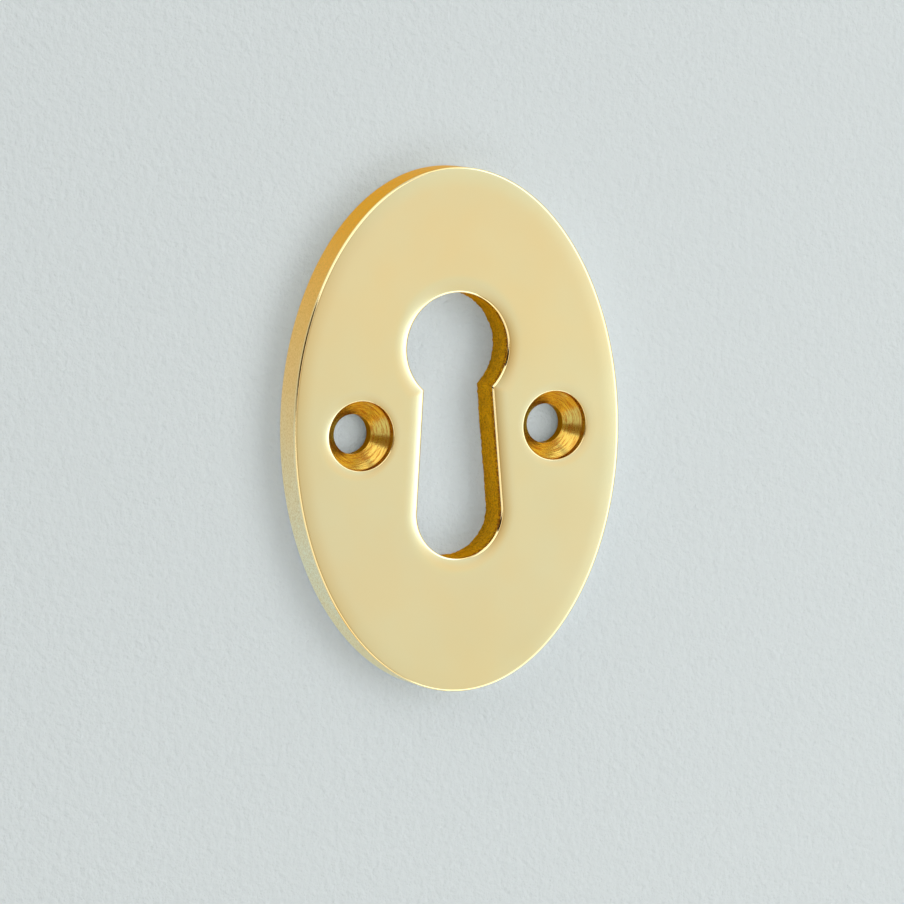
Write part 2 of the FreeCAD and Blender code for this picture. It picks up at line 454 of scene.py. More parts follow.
# %% [markdown]
# ## One closed plate
#
# The real plate is one piece, so the rim, the lining and the two sinkings are joined, and the
# flat fields between them are filled, front and back. The last flat rings of every edge lie in
# the field's own plane. That keeps the field's shading truly flat, because no tilted face
# touches it. The result is closed, with all its faces looking outwards.

# %% Join the shells and fill the fields
SMOOTH_BELOW = math.radians(32)


def fill_field(piece, y):
    """Fill the flat field between all the open rings at this depth."""
    bpy.ops.mesh.select_all(action="DESELECT")
    mesh = bmesh.from_edit_mesh(piece.data)
    for edge in mesh.edges:
        edge.select = edge.is_boundary and all(abs(end.co.y - y) < HAIR for end in edge.verts)
    bmesh.update_edit_mesh(piece.data)
    bpy.ops.mesh.fill(use_beauty=True)


bpy.ops.object.select_all(action="DESELECT")
for part in (oval_rim, keyhole_lining, right_sinking, left_sinking):
    part.select_set(True)
bpy.context.view_layer.objects.active = oval_rim
bpy.ops.object.join()
plate = bpy.context.object
plate.name = "brass_escutcheon"
bpy.ops.object.mode_set(mode="EDIT")
bpy.ops.mesh.select_mode(type="EDGE")
fill_field(plate, FRONT)
fill_field(plate, BACK)
bpy.ops.mesh.select_all(action="SELECT")
bpy.ops.mesh.normals_make_consistent(inside=False)
close_piece(plate)
bpy.ops.object.shade_smooth_by_angle(angle=SMOOTH_BELOW)

# %% Is it closed, and what is its volume
check = bmesh.new()
check.from_mesh(plate.data)
open_edges = sum(not edge.is_manifold for edge in check.edges)
print(f"open edges: {open_edges}, volume {check.calc_volume(signed=True) / MM**3:.0f} mm3")
check.free()

# %% [markdown]
# ## Tools for the finishes
#
# Five finishes meet on this plate: the buffed face, the satin side, the cast keyhole wall, the
# turned sinkings and the sanded back. They are the same brass, so what they share is built
# once, as node groups: the colour of the brass, which drifts a little from patch to patch, the
# fine grain that scatters the light, and the dark specks of a skin that was never polished.
# Each group only hands out colours, masks and heights. The shader itself stays in the material.

# %% A place to start a group
def start_group(name, inputs, outputs):
    """A shader node group with named sockets, and its input and output nodes."""
    group = bpy.data.node_groups.new(name, "ShaderNodeTree")
    for socket, kind in inputs:
        group.interface.new_socket(name=socket, in_out="INPUT", socket_type=f"NodeSocket{kind}")
    for socket, kind in outputs:
        group.interface.new_socket(name=socket, in_out="OUTPUT", socket_type=f"NodeSocket{kind}")
    enter = group.nodes.new("NodeGroupInput")
    leave = group.nodes.new("NodeGroupOutput")
    return group, enter, leave


def feed(tree, socket, value):
    """Link a socket to another one, or set it to a plain value."""
    if isinstance(value, bpy.types.NodeSocket):
        tree.links.new(value, socket)
    else:
        socket.default_value = value


def add_noise(tree, vector, scale, detail=2.0, roughness=0.5):
    """A noise texture on a vector; its scale is a socket to follow or a number."""
    noise = tree.nodes.new("ShaderNodeTexNoise")
    feed(tree, noise.inputs["Vector"], vector)
    feed(tree, noise.inputs["Scale"], scale)
    noise.inputs["Detail"].default_value = detail
    noise.inputs["Roughness"].default_value = roughness
    return noise.outputs["Fac"]


def add_range(tree, value, from_low, from_high, to_low=0.0, to_high=1.0):
    """Map a value from one range to another, clamped at both ends."""
    spread = tree.nodes.new("ShaderNodeMapRange")
    spread.clamp = True
    values = (value, from_low, from_high, to_low, to_high)
    for socket, number in zip(("Value", "From Min", "From Max", "To Min", "To Max"), values):
        feed(tree, spread.inputs[socket], number)
    return spread.outputs["Result"]


def add_math(tree, operation, first, second=0.0):
    """A Math node on one or two sockets or numbers."""
    node = tree.nodes.new("ShaderNodeMath")
    node.operation = operation
    feed(tree, node.inputs[0], first)
    feed(tree, node.inputs[1], second)
    return node.outputs["Value"]


def add_blend(tree, mask, first, second):
    """Mix two colours, given as sockets, by a mask."""
    mix = tree.nodes.new("ShaderNodeMix")
    mix.data_type = "RGBA"
    tree.links.new(mask, mix.inputs["Factor"])
    tree.links.new(first, mix.inputs["A"])
    tree.links.new(second, mix.inputs["B"])
    return mix.outputs["Result"]


# %% The brass tone group
def make_brass_tone():
    """Brass drifts between a warm and a cool tone over patches of some millimetres."""
    group, enter, leave = start_group(
        "brass_tone",
        [("Position", "Vector"), ("Warm", "Color"), ("Cool", "Color"), ("Patches", "Float")],
        [("Color", "Color")],
    )
    cloud = add_noise(group, enter.outputs["Position"], enter.outputs["Patches"], 2.5, 0.55)
    patch = add_range(group, cloud, 0.35, 0.65)
    tone = add_blend(group, patch, enter.outputs["Warm"], enter.outputs["Cool"])
    group.links.new(tone, leave.inputs["Color"])
    return group


# %% The metal grain group
SWELL = 0.21  # the swell has about a fifth of the grain's frequency


def make_metal_grain():
    """Fine grain with a coarser swell under it, as a height, and the swell alone as a drift."""
    group, enter, leave = start_group(
        "metal_grain",
        [("Position", "Vector"), ("Grain", "Float")],
        [("Height", "Float"), ("Drift", "Float")],
    )
    fine = add_noise(group, enter.outputs["Position"], enter.outputs["Grain"], 2.0, 0.6)
    wider = add_math(group, "MULTIPLY", enter.outputs["Grain"], SWELL)
    coarse = add_noise(group, enter.outputs["Position"], wider, 1.5, 0.5)
    height = add_math(group, "ADD", fine, coarse)
    group.links.new(height, leave.inputs["Height"])
    group.links.new(add_range(group, coarse, 0.3, 0.7), leave.inputs["Drift"])
    return group


# %% The dark specks group
def make_dark_specks():
    """A mask of small specks, where a fine noise is higher than a threshold."""
    group, enter, leave = start_group(
        "dark_specks",
        [("Position", "Vector"), ("Grain", "Float"), ("Threshold", "Float"), ("Amount", "Float")],
        [("Mask", "Float")],
    )
    fine = add_noise(group, enter.outputs["Position"], enter.outputs["Grain"], 2.0, 0.6)
    specks = add_range(group, fine, enter.outputs["Threshold"], 0.65, 0.0, enter.outputs["Amount"])
    group.links.new(specks, leave.inputs["Mask"])
    return group


brass_tone = make_brass_tone()
metal_grain = make_metal_grain()
dark_specks = make_dark_specks()
print("node groups:", [group.name for group in bpy.data.node_groups])

# %% A place to start a material
def start_material(name, edge_tint):
    """A metal material with its shader and a socket that gives the place on the piece."""
    material = bpy.data.materials.new(name)
    material.use_nodes = True
    tree = material.node_tree
    shader = tree.nodes["Principled BSDF"]
    shader.inputs["Metallic"].default_value = 1.0
    shader.inputs["Specular Tint"].default_value = edge_tint
    place = tree.nodes.new("ShaderNodeTexCoord").outputs["Object"]
    return material, tree, shader, place


THROWN = 0.95  # how strongly the brass throws light on the wall behind it
THROWN_FROM_HOLES = 0.75  # the same for the surfaces inside the holes


def set_colour(tree, colour, shader, thrown=THROWN):
    """Colour the brass, but let the light that it throws on the wall stay neutral."""
    silver = (0.94 * thrown, thrown, 1.03 * thrown)
    on_wall = tree.nodes.new("ShaderNodeLightPath").outputs["Diffuse Depth"]
    tree.links.new(add_shade(tree, on_wall, colour, silver), shader.inputs["Base Color"])


def add_group(tree, group, place, **values):
    """Place a node group, with its own values, on this material."""
    node = tree.nodes.new("ShaderNodeGroup")
    node.node_tree = group
    tree.links.new(place, node.inputs["Position"])
    for socket, value in values.items():
        node.inputs[socket].default_value = value
    return node


def add_shade(tree, mask, colour, shade):
    """Blend a plain shade into a colour by a mask."""
    plain = tree.nodes.new("ShaderNodeRGB")
    plain.outputs["Color"].default_value = (*shade, 1)
    return add_blend(tree, mask, colour, plain.outputs["Color"])


def add_bump(tree, height, shader, distance):
    """Let a height, as deep as distance, tip the shader's normal."""
    bump = tree.nodes.new("ShaderNodeBump")
    bump.inputs["Distance"].default_value = distance
    bump.inputs["Strength"].default_value = 1.0
    tree.links.new(height, bump.inputs["Height"])
    tree.links.new(bump.outputs["Normal"], shader.inputs["Normal"])


def add_tone(tree, place, warm, cool, patches):
    """The brass tone, as a colour."""
    tone = add_group(tree, brass_tone, place, Warm=(*warm, 1), Cool=(*cool, 1), Patches=patches)
    return tone.outputs["Color"]


def add_tooth(tree, place, shader, grain, smooth, rough, deep):
    """The metal grain: roughness that drifts between two values, and a bump as deep as deep."""
    tooth = add_group(tree, metal_grain, place, Grain=grain)
    roughness = add_range(tree, tooth.outputs["Drift"], 0.0, 1.0, smooth, rough)
    tree.links.new(roughness, shader.inputs["Roughness"])
    add_bump(tree, tooth.outputs["Height"], shader, deep)


# %% [markdown]
# ## The buffed face
#
# Lacquered, buffed brass is pale gold where it mirrors something bright. Its mirror is not
# perfect: it is soft at a hand's breadth, and its tone drifts between pinkish and greenish
# over six to ten millimetres. A plain gold colour would look like plastic, so the drift goes
# into both the colour and the roughness.

# %% The buffed face
def make_buffed_brass():
    material, tree, shader, place = start_material("buffed_brass", (1, 1, 1, 1))
    tone = add_tone(tree, place, (0.885, 0.765, 0.415), (0.868, 0.782, 0.447), 150.0)
    set_colour(tree, tone, shader)
    add_tooth(tree, place, shader, 900.0, 0.08, 0.11, 0.0006 * MM)
    return material


buffed_brass = make_buffed_brass()
print("finish:", buffed_brass.name)

# %% [markdown]
# ## The satin side
#
# The side of the oval was only linished, so it carries a fine tooth and some dark specks, and
# it scatters light more than the face does. Its colour is painted from a deep gold near the top
# to a paler one below, with two tones blended by height. This is a painted reflection: a warm one
# above, and below a pale sheen, as where the side mirrors the bright wall.

# %% The satin side
# Heights of a painted reflection on the side: a pale painted sheen below, a warm gold above.
PAINTED_SHEEN_BELOW, PAINTED_WARM_ABOVE = -0.42 * HALF_HEIGHT, 0.86 * HALF_HEIGHT
SATIN_SPECK = (0.62, 0.42, 0.1)


def make_satin_brass():
    material, tree, shader, place = start_material("satin_brass", (1.0, 0.82, 0.48, 1))
    deep = add_tone(tree, place, (0.93, 0.47, 0.035), (0.91, 0.49, 0.045), 220.0)
    pale = add_tone(tree, place, (0.94, 0.91, 0.65), (0.91, 0.93, 0.70), 220.0)
    # Painted reflection: the tone is blended by height, pale below and deep gold above.
    split = tree.nodes.new("ShaderNodeSeparateXYZ")
    tree.links.new(place, split.inputs["Vector"])
    high = add_range(tree, split.outputs["Z"], PAINTED_SHEEN_BELOW, PAINTED_WARM_ABOVE)
    tone = add_blend(tree, high, pale, deep)
    specks = add_group(tree, dark_specks, place, Grain=5500.0, Threshold=0.4, Amount=0.5)
    tone = add_shade(tree, specks.outputs["Mask"], tone, SATIN_SPECK)
    set_colour(tree, tone, shader)
    add_tooth(tree, place, shader, 5200.0, 0.34, 0.44, 0.012 * MM)
    return material


satin_brass = make_satin_brass()
print("finish:", satin_brass.name)

# %% [markdown]
# ## The cast wall of the keyhole
#
# The wall still has the skin of the casting: grains of a tenth of a millimetre, dark specks
# between them that run a little from front to back, and a brown in blotches that gets stronger
# towards the back. Just below the polished edge, polish has dried in reddish beads. The larger
# grains are in the mesh. The bump adds the ones that are too small for it.

# %% The cast wall
LIP_TOP, LIP_FOOT = FRONT + 0.5 * MM, FRONT + 1.0 * MM
BROWN_FROM = FRONT + 0.3 * MM
BROWN_TOWARDS_BACK = (0.30, 0.15, 0.02)
CAST_SPECK = (0.34, 0.17, 0.01)
DRIED_POLISH = (0.28, 0.10, 0.03)


def make_cast_brass():
    material, tree, shader, place = start_material("cast_brass", (1.0, 0.45, 0.02, 1))
    tone = add_tone(tree, place, (0.98, 0.56, 0.03), (0.92, 0.54, 0.035), 900.0)
    split = tree.nodes.new("ShaderNodeSeparateXYZ")
    tree.links.new(place, split.inputs["Vector"])
    # Browner towards the back of the hole, in blotches.
    depth = add_range(tree, split.outputs["Y"], BROWN_FROM, BACK, 0.14, 0.55)
    blotch = add_range(tree, add_noise(tree, place, 1400.0, 3.0, 0.6), 0.35, 0.7)
    back_browning = add_math(tree, "MULTIPLY", depth, blotch)
    colour = add_shade(tree, back_browning, tone, BROWN_TOWARDS_BACK)
    along = tree.nodes.new("ShaderNodeMapping")
    along.inputs["Scale"].default_value = (1, 0.5, 1)
    tree.links.new(place, along.inputs["Vector"])
    stretched = along.outputs["Vector"]
    specks = add_group(tree, dark_specks, stretched, Grain=7000.0, Threshold=0.45, Amount=0.6)
    colour = add_shade(tree, specks.outputs["Mask"], colour, CAST_SPECK)
    lip = add_range(tree, split.outputs["Y"], LIP_TOP, LIP_FOOT, 1.0, 0.0)
    beads = add_range(tree, add_noise(tree, place, 4600.0, 1.0, 0.5), 0.4, 0.56)
    beaded_lip = add_math(tree, "MULTIPLY", lip, beads)
    colour = add_shade(tree, beaded_lip, colour, DRIED_POLISH)
    set_colour(tree, colour, shader, THROWN_FROM_HOLES)
    add_tooth(tree, place, shader, 6500.0, 0.38, 0.55, 0.05 * MM)
    return material


cast_brass = make_cast_brass()
print("finish:", cast_brass.name)

# %% [markdown]
# ## The turned sinkings
#
# The rings of the cutter are in the mesh. Between them run finer ones. They are drawn by a noise
# on two numbers, the distance from the middle of the hole and, much slower, the way round it, so
# that each line runs for a short arc and stops. The sideways position is folded at the upright
# middle line of the plate, so that one pattern serves both holes. The lines are browner, and so
# is the top of the wall. The bore was drilled. It and the corner between wall and cone are
# painted browner as well, as painted shade deep in the hole and in the crease.

# %% The turned sinkings
CONE_FOOT = FRONT + SINK_WALL + CONE_DEPTH
ARC_PITCH = 8500.0
ARC_BREAKS = 2.2
BORE_BLEND = 0.03 * MM
# The brown of the turning lines, and of the painted shade in the bore and the corner.
LINE_AND_SHADE_BROWN = (0.52, 0.20, 0.012)


def make_turned_brass():
    material, tree, shader, place = start_material("turned_brass", (1.0, 0.7, 0.25, 1))
    split = tree.nodes.new("ShaderNodeSeparateXYZ")
    tree.links.new(place, split.inputs["Vector"])
    aside = add_math(tree, "SUBTRACT", add_math(tree, "ABSOLUTE", split.outputs["X"]), SCREW_X)
    squares = [add_math(tree, "POWER", length, 2.0) for length in (aside, split.outputs["Z"])]
    reach = add_math(tree, "POWER", add_math(tree, "ADD", *squares), 0.5)
    spoke = add_math(tree, "ARCTAN2", split.outputs["Z"], aside)
    arc = tree.nodes.new("ShaderNodeCombineXYZ")
    tree.links.new(add_math(tree, "MULTIPLY", reach, ARC_PITCH), arc.inputs["X"])
    tree.links.new(add_math(tree, "MULTIPLY", spoke, ARC_BREAKS), arc.inputs["Y"])
    ring = add_noise(tree, arc.outputs["Vector"], 1.0, 3.0, 0.6)
    tone = add_tone(tree, place, (0.77, 0.595, 0.155), (0.75, 0.60, 0.165), 700.0)
    deep = split.outputs["Y"]
    # Painted shade: the bore and the corner between wall and cone are painted brown.
    painted_bore_shade = add_range(tree, deep, CONE_FOOT - BORE_BLEND, CONE_FOOT + BORE_BLEND)
    in_line = add_range(tree, ring, 0.46, 0.64, 0.0, 0.8)
    past_corner = add_math(tree, "SUBTRACT", deep, FRONT + SINK_WALL)
    off_corner = add_math(tree, "ABSOLUTE", past_corner)
    painted_corner_shade = add_range(tree, off_corner, 0.04 * MM, 0.12 * MM, 0.5, 0.0)
    at_top = add_range(tree, deep, FRONT + 0.15 * MM, FRONT + 0.3 * MM, 0.35, 0.0)
    mask = painted_bore_shade
    for other in (in_line, painted_corner_shade, at_top):
        mask = add_math(tree, "MAXIMUM", mask, other)
    set_colour(tree, add_shade(tree, mask, tone, LINE_AND_SHADE_BROWN), shader, THROWN_FROM_HOLES)
    roughness = add_range(tree, ring, 0.3, 0.7, 0.15, 0.28)
    tree.links.new(roughness, shader.inputs["Roughness"])
    add_bump(tree, ring, shader, 0.011 * MM)
    return material


turned_brass = make_turned_brass()
print("finish:", turned_brass.name)

# %% [markdown]
# ## The sanded back
#
# Nobody sees the back once the plate is up, so it is only rubbed flat on abrasive paper. The
# strokes run along the plate. Stretching a noise along Z draws them.

# %% The sanded back
def make_sanded_brass():
    material, tree, shader, place = start_material("sanded_brass", (1, 1, 1, 1))
    tone = add_tone(tree, place, (0.80, 0.60, 0.27), (0.72, 0.58, 0.30), 180.0)
    set_colour(tree, tone, shader)
    stretch = tree.nodes.new("ShaderNodeMapping")
    stretch.inputs["Scale"].default_value = (1, 1, 0.03)
    stretch.inputs["Rotation"].default_value = (0, math.radians(4), 0)
    tree.links.new(place, stretch.inputs["Vector"])
    add_tooth(tree, stretch.outputs["Vector"], shader, 6000.0, 0.3, 0.5, 0.012 * MM)
    return material


sanded_brass = make_sanded_brass()
print("finish:", sanded_brass.name)

# %% [markdown]
# ## Each finish in its place
#
# The faces are chosen by where they lie, as one would box-select them. Behind the polished
# edges, a face belongs to the keyhole if it is near the middle, to a sinking if it is near a
# screw's axis, and otherwise to the side of the oval.

# %% Give the finishes to the faces
KEYHOLE_REACH_X, KEYHOLE_REACH_Z = 6 * MM, 14 * MM
SINKING_REACH = SINK_RADIUS + 0.2 * MM


def in_keyhole(place):
    return abs(place.x) < KEYHOLE_REACH_X and abs(place.z) < KEYHOLE_REACH_Z


def in_sinking(place):
    return math.hypot(abs(place.x) - SCREW_X, place.z) < SINKING_REACH


def finish_of(place):
    """The finish of a face, from the place of its middle."""
    if place.y > BACK - HAIR:
        return sanded_brass
    if in_keyhole(place):
        return cast_brass if place.y > FRONT + KEY_EDGE[-1][1] else buffed_brass
    if in_sinking(place):
        edge = LEFT_SINK_EDGE if place.x < 0 else RIGHT_SINK_EDGE
        return turned_brass if place.y > FRONT + edge[-1][1] else buffed_brass
    return satin_brass if place.y > FRONT + OVAL_EDGE[-1][1] else buffed_brass


def give_finish(piece, material):
    """A new material slot, given to the faces whose finish it is."""
    bpy.ops.object.material_slot_add()
    piece.material_slots[piece.active_material_index].material = material
    bpy.ops.object.mode_set(mode="EDIT")
    bpy.ops.mesh.select_all(action="DESELECT")
    mesh = bmesh.from_edit_mesh(piece.data)
    for face in mesh.faces:
        face.select = finish_of(face.calc_center_median()) == material
    count = sum(face.select for face in mesh.faces)
    bmesh.update_edit_mesh(piece.data)
    bpy.ops.object.material_slot_assign()
    bpy.ops.object.mode_set(mode="OBJECT")
    print(f"{material.name}: {count} faces")


bpy.context.tool_settings.mesh_select_mode = (False, False, True)
for finish in (buffed_brass, satin_brass, cast_brass, turned_brass, sanded_brass):
    give_finish(plate, finish)

# %% Stand it in for the plain plate
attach(plate, "root")
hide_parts("escutcheon_plate")
print("riding on root:", plate.name)

# %% [markdown]
# ## The wall and the floor
#
# The plate is photographed on a painted wall. The wall is a flat sheet with an opening just
# inside the plate's outline, so that the back of the plate still gets light when it is looked
# at from behind. Three patches, just larger than the holes, close the view through them. They
# lie in the plate's shade, so the metal mirrors them as dark as they are, while the open wall
# mirrors brighter and cooler below, warmer above, and the floor an even pale grey. Seen from
# behind, wall and floor are clear.

# %% The paint
def add_shader_mix(tree, mask, first, second):
    """Mix two shaders by a mask."""
    mix = tree.nodes.new("ShaderNodeMixShader")
    tree.links.new(mask, mix.inputs["Fac"])
    tree.links.new(first, mix.inputs[1])
    tree.links.new(second, mix.inputs[2])
    return mix.outputs["Shader"]


def make_paint(name, mirrored=None):
    """Pale grey paint with a roller texture, clear when seen from behind.

    The metal mirrors it in two given shades, the first from below and the second from above.
    """
    material = bpy.data.materials.new(name)
    material.use_nodes = True
    tree = material.node_tree
    shader = tree.nodes["Principled BSDF"]
    shader.inputs["Base Color"].default_value = (0.64, 0.68, 0.68, 1)
    shader.inputs["Roughness"].default_value = 0.7
    shader.inputs["Specular IOR Level"].default_value = 0.2
    place = tree.nodes.new("ShaderNodeTexCoord").outputs["Object"]
    nap = add_noise(tree, place, 1300.0, 3.0, 0.6)
    add_bump(tree, nap, shader, 0.24 * MM)
    paint = shader.outputs["BSDF"]
    if mirrored:
        glow = tree.nodes.new("ShaderNodeEmission")
        split = tree.nodes.new("ShaderNodeSeparateXYZ")
        tree.links.new(place, split.inputs["Vector"])
        high = add_range(tree, split.outputs["Z"], -HALF_HEIGHT / 2, HALF_HEIGHT / 2)
        below = tree.nodes.new("ShaderNodeRGB").outputs["Color"]
        below.default_value = (*mirrored[0], 1)
        tree.links.new(add_shade(tree, high, below, mirrored[1]), glow.inputs["Color"])
        in_metal = tree.nodes.new("ShaderNodeLightPath").outputs["Is Glossy Ray"]
        paint = add_shader_mix(tree, in_metal, paint, glow.outputs["Emission"])
    clear = tree.nodes.new("ShaderNodeBsdfTransparent")
    behind = tree.nodes.new("ShaderNodeNewGeometry").outputs["Backfacing"]
    sheet = add_shader_mix(tree, behind, paint, clear.outputs["BSDF"])
    tree.links.new(sheet, tree.nodes["Material Output"].inputs["Surface"])
    return material


COOL_BELOW, WARM_ABOVE = (0.64, 0.74, 0.92), (0.74, 0.72, 0.64)
EVEN_GREY = (0.8, 0.8, 0.79)
wall_paint = make_paint("wall_paint", [COOL_BELOW, WARM_ABOVE])
shaded_paint = make_paint("shaded_paint")
floor_paint = make_paint("floor_paint", [EVEN_GREY, EVEN_GREY])
print("paints:", wall_paint.name, shaded_paint.name, floor_paint.name)

# %% Draw the wall, its patches and the floor
WALL_Y = 0.05 * MM
OPENING_INSET = 0.15 * MM
PATCH_GROW = 0.1 * MM
WALL_STEPS = 96
WALL_REACH = 1.2
WALL_GROWTH = 1.6
FLOOR_SIZE = 3.0
FLOOR_AHEAD = -1.5
FLOOR_Z = -0.5


def draw_wall():
    """Three patches behind the holes, then a ring pulled out from the opening in growing steps."""
    wall = start_piece("wall")
    draw_keyhole_ring(wall, "keyhole_patch", PATCH_GROW, WALL_Y)
    bpy.ops.mesh.edge_face_add()
    bpy.ops.object.vertex_group_remove(all=True)
    for side in (-1, 1):
        bpy.ops.mesh.select_all(action="DESELECT")
        patch_radius = SCREW_RADIUS + BORE_BREAK + PATCH_GROW
        start_circle(SINK_STEPS, patch_radius, side * SCREW_X, WALL_Y, "NGON")
    bpy.ops.mesh.select_all(action="DESELECT")
    start_circle(WALL_STEPS, HALF_HEIGHT - OPENING_INSET, 0, WALL_Y)
    narrow = (HALF_WIDTH - OPENING_INSET) / (HALF_HEIGHT - OPENING_INSET)
    bpy.ops.transform.resize(value=(narrow, 1, 1), center_override=(0, WALL_Y, 0))
    reach = HALF_HEIGHT
    while reach < WALL_REACH:
        pull_ring(0, (WALL_GROWTH, 1, WALL_GROWTH), (0, WALL_Y, 0))
        reach *= WALL_GROWTH
    pick_points(wall, lambda point: True)
    bpy.ops.mesh.normals_make_consistent(inside=False)
    mesh = bmesh.from_edit_mesh(wall.data)
    for face in mesh.faces:
        face.select = face.normal.y > 0
        middle = face.calc_center_median()
        face.material_index = int(math.hypot(middle.x, middle.z) < HALF_WIDTH - OPENING_INSET)
    bmesh.update_edit_mesh(wall.data)
    bpy.ops.mesh.flip_normals()
    bpy.ops.object.mode_set(mode="OBJECT")
    wall.data.materials.append(wall_paint)
    wall.data.materials.append(shaded_paint)
    print(f"wall: {len(wall.data.polygons)} faces")


def draw_floor():
    """A plain square, half a metre below the plate."""
    bpy.ops.object.select_all(action="DESELECT")
    bpy.ops.mesh.primitive_plane_add(size=FLOOR_SIZE, location=(0, FLOOR_AHEAD, FLOOR_Z))
    floor = bpy.context.object
    floor.name = "floor"
    floor.data.materials.append(floor_paint)
    print("floor at z =", FLOOR_Z)


draw_wall()
draw_floor()

# %% [markdown]
# ## The camera
#
# The photograph was taken with a long lens from the left and a little above. The angles come
# from the plate itself: how narrow the oval looks gives the turn, and how far apart the two
# screw holes stand in height gives the lift and the roll.

# %% The camera
CAMERA_TURN, CAMERA_LIFT = -24.252, 6.398  # degrees
CAMERA_ROLL = math.radians(-0.53)
CAMERA_AIM = Vector((0.89, 0.0, -2.431)) * MM
CAMERA_DISTANCE = 478 * MM
PICTURE_WIDTH = 904
FOCAL_PIXELS = 5000
NEAREST, FARTHEST = 0.01, 10.0


def towards(turn, lift):
    """A direction from the plate, in degrees: turn to the right of straight ahead, and lift."""
    turn, lift = math.radians(turn), math.radians(lift)
    ahead = math.cos(lift)
    return Vector((math.sin(turn) * ahead, -math.cos(turn) * ahead, math.sin(lift)))


def place_camera():
    """A camera that looks at the aim point from the photograph's direction."""
    back = towards(CAMERA_TURN, CAMERA_LIFT)
    turn = math.radians(CAMERA_TURN)
    level = Vector((math.cos(turn), math.sin(turn), 0.0))
    up = back.cross(level)
    right = level * math.cos(CAMERA_ROLL) + up * math.sin(CAMERA_ROLL)
    up = up * math.cos(CAMERA_ROLL) - level * math.sin(CAMERA_ROLL)
    bpy.ops.object.select_all(action="DESELECT")
    bpy.ops.object.camera_add()
    camera = bpy.context.object
    camera.name = "long_lens_camera"
    camera.data.lens = camera.data.sensor_width * FOCAL_PIXELS / PICTURE_WIDTH
    camera.data.clip_start, camera.data.clip_end = NEAREST, FARTHEST
    facing = Matrix((right, up, back)).transposed().to_4x4()
    camera.matrix_world = Matrix.Translation(CAMERA_AIM + back * CAMERA_DISTANCE) @ facing
    bpy.context.scene.camera = camera
    print(f"lens {camera.data.lens:.1f} mm")


place_camera()

# %% [markdown]
# ## The light
#
# Polished metal shows its surroundings, so lighting it means choosing what it mirrors. Three
# softboxes light the wall and the metal. The one on the right throws the soft shadow to the
# left. One high on the left and one below keep that shadow from going black.
#
# A studio then bends a sheet of paper round the front of the piece. Only the metal sees it.
# To the right the sheet turns white, which makes the glow on the rolled edges. Straight ahead it
# is the even pale grey that the face shows. To the left it falls to tan and brown and then
# turns bright: that draws the tan shade, the brown line and the bright line on the edges that
# lean to the left.
#
# Cards stand round the plate as well, again for the metal alone. Two dark ones are where the
# camera and its stand would be, and draw the dark lines. The pale ones above and below put
# light into the cones of the sinkings. The last card is the other way round: the metal doesn't
# see it, but it keeps the light from the left off the wall, so that the shadow is deep enough.

# %% Softboxes
def face_plate(thing, away):
    """Turn a lamp or a card so that it faces the plate."""
    thing.rotation_euler = away.to_track_quat("Z", "Y").to_euler()


def across(distance, degrees):
    """The width that spans so many degrees, seen from the plate."""
    return 2 * distance * math.tan(math.radians(degrees / 2))


def add_softbox(name, turn, lift, distance, wide, tall, brightness):
    """An area lamp that faces the plate and spans wide x tall degrees, seen from it."""
    away = towards(turn, lift)
    bpy.ops.object.light_add(type="AREA", location=away * distance)
    lamp = bpy.context.object
    lamp.name = name
    face_plate(lamp, away)
    lamp.data.shape = "RECTANGLE"
    lamp.data.size = across(distance, wide)
    lamp.data.size_y = across(distance, tall)
    lamp.data.energy = 4 * lamp.data.size * lamp.data.size_y * brightness
    lamp.visible_camera = False
    print(f"{name}: {lamp.data.size:.2f} x {lamp.data.size_y:.2f} m, {lamp.data.energy:.2f} W")


# name, turn, lift, distance, wide, tall, brightness
add_softbox("key_softbox", 37, 2, 0.8, 34, 60, 1.28)
add_softbox("upper_left_softbox", -60, 46, 0.8, 60, 44, 0.5)
add_softbox("low_fill", 0, -42, 0.6, 60, 40, 0.75)

# %% What only the metal sees
SHEET_RADIUS = 0.45
SHEET_LEFT, SHEET_RIGHT = -40, 56
SHEET_STEPS = 96
SHEET_ACROSS = [
    (-40, (1.35, 1.2, 1.05)),
    (0, (1.35, 1.2, 1.05)),
    (3, (0.9, 0.7, 0.55)),
    (6, (0.38, 0.24, 0.1)),
    (11, (0.52, 0.4, 0.24)),
    (14, (0.66, 0.56, 0.45)),
    (16.5, (0.74, 0.67, 0.58)),
    (19, (0.80, 0.76, 0.73)),
    (21.3, (0.825, 0.82, 0.83)),
    (22.8, (0.84, 0.83, 0.83)),
    (25, (0.84, 0.825, 0.81)),
    (28, (0.855, 0.86, 0.88)),
    (31, (0.93, 0.98, 1.05)),
    (33.2, (1.06, 1.16, 1.35)),
    (34.4, (1.5, 1.8, 2.2)),
    (36, (2.4, 2.4, 2.5)),
    (50, (2.4, 2.4, 2.5)),
    (56, (1.4, 1.4, 1.4)),
]
SHEET_UP = [
    (-92, (0.97, 0.953, 0.91)),
    (-78, (0.98, 0.967, 0.965)),
    (-60, (0.982, 0.985, 0.98)),
    (-46, (0.992, 1.0, 0.98)),
    (-36, (1.02, 0.984, 0.92)),
    (-24, (1.052, 0.98, 0.89)),
    (-8, (1.04, 0.963, 0.89)),
    (15, (1.0, 1.02, 1.02)),
    (40, (1.0, 1.06, 1.12)),
]


def add_shades(tree, value, stops):
    """A colour ramp whose stops are given in the value's own unit."""
    low, high = stops[0][0], stops[-1][0]
    ramp = tree.nodes.new("ShaderNodeValToRGB")
    tree.links.new(add_range(tree, value, low, high), ramp.inputs["Fac"])
    marks = ramp.color_ramp.elements
    marks[0].color = (*stops[0][1], 1)
    marks[1].color = (*stops[-1][1], 1)
    for place, shade in stops[1:-1]:
        marks.new((place - low) / (high - low)).color = (*shade, 1)
    return ramp.outputs["Color"]


